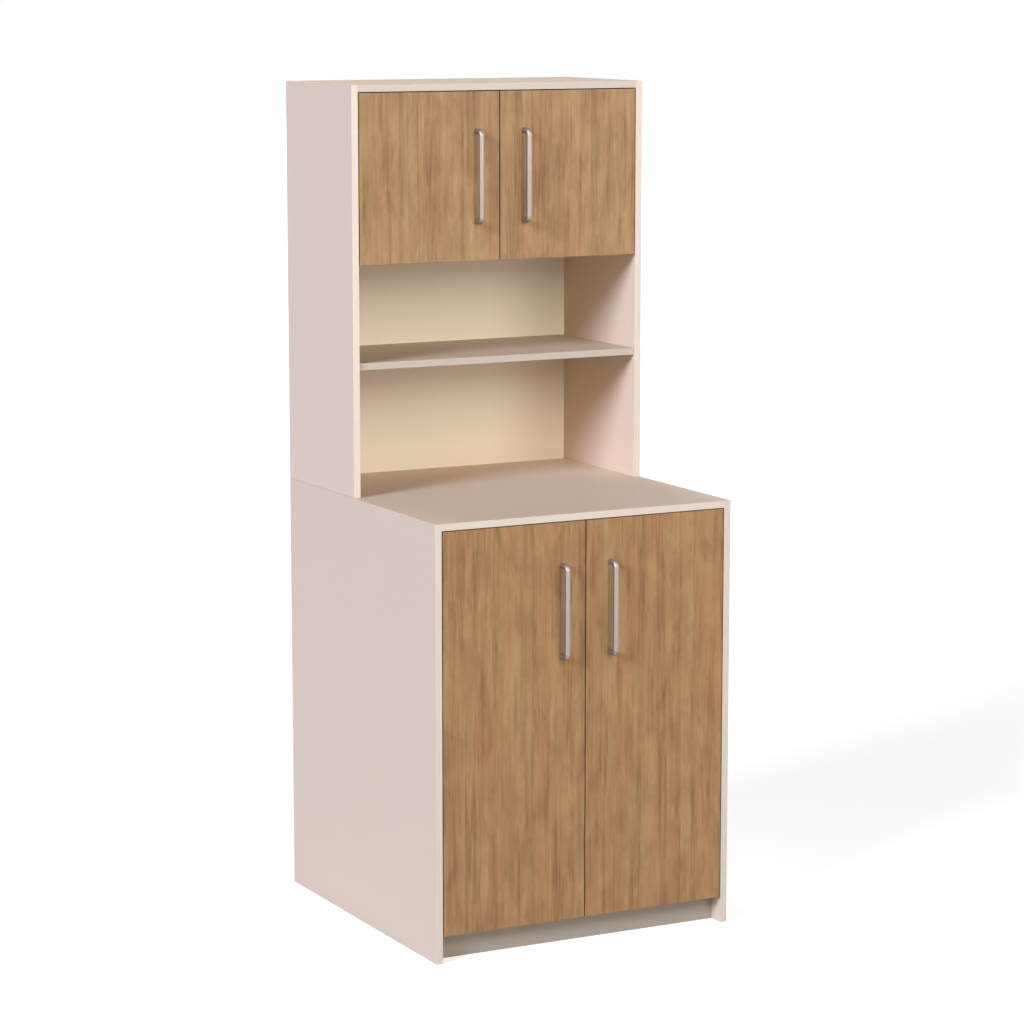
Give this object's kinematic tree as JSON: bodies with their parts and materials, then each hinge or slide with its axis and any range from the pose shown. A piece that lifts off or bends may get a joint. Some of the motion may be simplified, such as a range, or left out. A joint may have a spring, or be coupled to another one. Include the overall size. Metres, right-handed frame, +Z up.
{
  "type": "kitchen buffet cabinet",
  "caption": "Two-tier kitchen buffet cabinet: deep base with worktop and inset doors, and a shallower hutch with open niches, a shelf and a small cupboard with inset doors and bar handles.",
  "frame": {"origin": "middle of the footprint on the floor: bottom centre of the bounding box, which takes in the base handles in front and the joining plates behind", "axes": "+Z up, +X to the right as seen by someone facing the doors, doors face -Y"},
  "size_m": [0.7, 0.764, 1.8],
  "materials": {
    "cream_board": "cream melamine-faced board, matt",
    "back_board": "cream lacquered fibreboard, matt",
    "door_wood": "oak-look woodgrain facing, vertical grain, matt",
    "handle_metal": "satin nickel",
    "hinge_steel": "nickel-plated steel",
    "screw_steel": "zinc-plated steel",
    "fitting_zinc": "die-cast zinc alloy",
    "dowel_wood": "plain beech"
  },
  "bodies": {
    "carcass": {"base_back": "back_board", "base_bottom": "cream_board", "base_shelf": "cream_board", "base_side_left": "cream_board", "base_side_right": "cream_board", "cam_bolts": "screw_steel", "cam_locks": "fitting_zinc", "cupboard_floor": "cream_board", "dowels": "dowel_wood", "hinge_arm_pins": "hinge_steel", "hinge_arm_screws": "screw_steel", "hinge_arms_base_left": "hinge_steel", "hinge_arms_base_right": "hinge_steel", "hinge_arms_hutch_left": "hinge_steel", "hinge_arms_hutch_right": "hinge_steel", "hinge_plate_screws": "screw_steel", "hinge_plates": "hinge_steel", "hutch_back": "back_board", "hutch_side_left": "cream_board", "hutch_side_right": "cream_board", "hutch_top": "cream_board", "joining_plates": "screw_steel", "joining_screws": "screw_steel", "niche_shelf": "cream_board", "plinth": "cream_board", "shelf_pins": "screw_steel", "worktop": "cream_board"},
    "door_base_left": {"door_base_left": "door_wood", "handle_base_left": "handle_metal", "handle_screws_base_left": "screw_steel", "hinge_cups_base_left": "hinge_steel", "hinge_cup_pins_base_left": "hinge_steel", "hinge_cup_screws_base_left": "screw_steel"},
    "inner_links_base_left": {"hinge_inner_links_base_left": "hinge_steel"},
    "outer_links_base_left": {"hinge_outer_links_base_left": "hinge_steel"},
    "door_base_right": {"door_base_right": "door_wood", "handle_base_right": "handle_metal", "handle_screws_base_right": "screw_steel", "hinge_cups_base_right": "hinge_steel", "hinge_cup_pins_base_right": "hinge_steel", "hinge_cup_screws_base_right": "screw_steel"},
    "inner_links_base_right": {"hinge_inner_links_base_right": "hinge_steel"},
    "outer_links_base_right": {"hinge_outer_links_base_right": "hinge_steel"},
    "door_hutch_left": {"door_hutch_left": "door_wood", "handle_hutch_left": "handle_metal", "handle_screws_hutch_left": "screw_steel", "hinge_cups_hutch_left": "hinge_steel", "hinge_cup_pins_hutch_left": "hinge_steel", "hinge_cup_screws_hutch_left": "screw_steel"},
    "inner_links_hutch_left": {"hinge_inner_links_hutch_left": "hinge_steel"},
    "outer_links_hutch_left": {"hinge_outer_links_hutch_left": "hinge_steel"},
    "door_hutch_right": {"door_hutch_right": "door_wood", "handle_hutch_right": "handle_metal", "handle_screws_hutch_right": "screw_steel", "hinge_cups_hutch_right": "hinge_steel", "hinge_cup_pins_hutch_right": "hinge_steel", "hinge_cup_screws_hutch_right": "screw_steel"},
    "inner_links_hutch_right": {"hinge_inner_links_hutch_right": "hinge_steel"},
    "outer_links_hutch_right": {"hinge_outer_links_hutch_right": "hinge_steel"}
  },
  "joints": [
    {"name": "inner_links_base_left_turn", "type": "hinge", "parent": "carcass", "child": "inner_links_base_left", "pos_m": [-0.298, -0.3308, 0.4825], "axis": [0, 0, -1], "range_deg": [-3.3, 0]},
    {"name": "door_base_left_swing", "type": "hinge", "parent": "inner_links_base_left", "child": "door_base_left", "pos_m": [-0.3226, -0.3435, 0.4825], "axis": [0, 0, -1], "range_deg": [0, 103.2]},
    {"name": "outer_links_base_left_turn", "type": "hinge", "parent": "carcass", "child": "outer_links_base_left", "pos_m": [-0.296, -0.323, 0.4825], "axis": [0, 0, -1], "range_deg": [-18.1, 0]},
    {"name": "inner_links_base_right_turn", "type": "hinge", "parent": "carcass", "child": "inner_links_base_right", "pos_m": [0.298, -0.3308, 0.4825], "axis": [0, 0, 1], "range_deg": [-3.3, 0]},
    {"name": "door_base_right_swing", "type": "hinge", "parent": "inner_links_base_right", "child": "door_base_right", "pos_m": [0.3226, -0.3435, 0.4825], "axis": [0, 0, 1], "range_deg": [0, 103.2]},
    {"name": "outer_links_base_right_turn", "type": "hinge", "parent": "carcass", "child": "outer_links_base_right", "pos_m": [0.296, -0.323, 0.4825], "axis": [0, 0, 1], "range_deg": [-18.1, 0]},
    {"name": "inner_links_hutch_left_turn", "type": "hinge", "parent": "carcass", "child": "inner_links_hutch_left", "pos_m": [-0.298, 0.0592, 1.602], "axis": [0, 0, -1], "range_deg": [-3.3, 0]},
    {"name": "door_hutch_left_swing", "type": "hinge", "parent": "inner_links_hutch_left", "child": "door_hutch_left", "pos_m": [-0.3226, 0.0465, 1.602], "axis": [0, 0, -1], "range_deg": [0, 103.2]},
    {"name": "outer_links_hutch_left_turn", "type": "hinge", "parent": "carcass", "child": "outer_links_hutch_left", "pos_m": [-0.296, 0.067, 1.602], "axis": [0, 0, -1], "range_deg": [-18.1, 0]},
    {"name": "inner_links_hutch_right_turn", "type": "hinge", "parent": "carcass", "child": "inner_links_hutch_right", "pos_m": [0.298, 0.0592, 1.602], "axis": [0, 0, 1], "range_deg": [-3.3, 0]},
    {"name": "door_hutch_right_swing", "type": "hinge", "parent": "inner_links_hutch_right", "child": "door_hutch_right", "pos_m": [0.3226, 0.0465, 1.602], "axis": [0, 0, 1], "range_deg": [0, 103.2]},
    {"name": "outer_links_hutch_right_turn", "type": "hinge", "parent": "carcass", "child": "outer_links_hutch_right", "pos_m": [0.296, 0.067, 1.602], "axis": [0, 0, 1], "range_deg": [-18.1, 0]}
  ],
  "couplings": [
    {"joint": "inner_links_base_left_turn", "follows": "door_base_left_swing", "ratio": -0.031},
    {"joint": "outer_links_base_left_turn", "follows": "door_base_left_swing", "ratio": -0.1735},
    {"joint": "inner_links_base_right_turn", "follows": "door_base_right_swing", "ratio": -0.031},
    {"joint": "outer_links_base_right_turn", "follows": "door_base_right_swing", "ratio": -0.1735},
    {"joint": "inner_links_hutch_left_turn", "follows": "door_hutch_left_swing", "ratio": -0.031},
    {"joint": "outer_links_hutch_left_turn", "follows": "door_hutch_left_swing", "ratio": -0.1735},
    {"joint": "inner_links_hutch_right_turn", "follows": "door_hutch_right_swing", "ratio": -0.031},
    {"joint": "outer_links_hutch_right_turn", "follows": "door_hutch_right_swing", "ratio": -0.1735}
  ]
}
